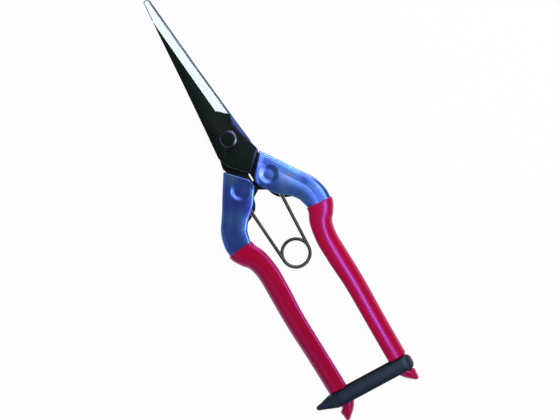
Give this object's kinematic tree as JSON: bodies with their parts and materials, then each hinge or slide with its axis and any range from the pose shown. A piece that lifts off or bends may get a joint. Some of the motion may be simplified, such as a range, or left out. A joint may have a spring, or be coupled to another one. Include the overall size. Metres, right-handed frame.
{
  "type": "floral snips",
  "caption": "Long-nosed sprung flower snips with crossed black blades, folded blue steel handles, red dipped grips, a wire torsion spring and a rubber catch loop.",
  "frame": {"origin": "centre of the pivot rivet's flat rear face, on the plane that the snips lie on", "axes": "+Y along the closed blades towards the tip, +X towards the handle that carries the front blade, +Z along the pivot, away from the table"},
  "size_m": [0.0529, 0.2012, 0.0092],
  "materials": {
    "blade_coat": "satin black coat with a ground bright bevel",
    "pivot_steel": "satin black",
    "handle_plate": "glossy blue plating",
    "grip_cover": "glossy dipped",
    "spring_wire": "dark drawn wire",
    "strap_rubber": "smooth moulded"
  },
  "bodies": {
    "pivot": {"pivot_rivet": "pivot_steel", "front_washer": "pivot_steel", "rear_washer": "pivot_steel", "spring": "spring_wire"},
    "right_half": {"front_blade": "blade_coat", "right_handle": "handle_plate", "right_grip": "grip_cover"},
    "left_half": {"rear_blade": "blade_coat", "left_handle": "handle_plate", "left_grip": "grip_cover"},
    "catch": {"catch_strap": "strap_rubber"}
  },
  "joints": [
    {"name": "right_pivot", "type": "hinge", "parent": "pivot", "child": "right_half", "pos_m": [0, 0, 0.0046], "axis": [0, 0, 1], "range_deg": [0, 11], "deforming": ["spring", "catch_strap"]},
    {"name": "left_pivot", "type": "hinge", "parent": "pivot", "child": "left_half", "pos_m": [0, 0, 0.0046], "axis": [0, 0, -1], "range_deg": [0, 11], "deforming": ["spring"]},
    {"name": "catch_swing", "type": "hinge", "parent": "right_half", "child": "catch", "pos_m": [0.01795, -0.1192, 0.0046], "axis": [0, 0, 1], "range_deg": [0, 55], "deforming": ["catch_strap"]}
  ],
  "couplings": [
    {"joint": "left_pivot", "follows": "right_pivot", "ratio": 1},
    {"joint": "catch_swing", "follows": "right_pivot", "ratio": 5}
  ]
}
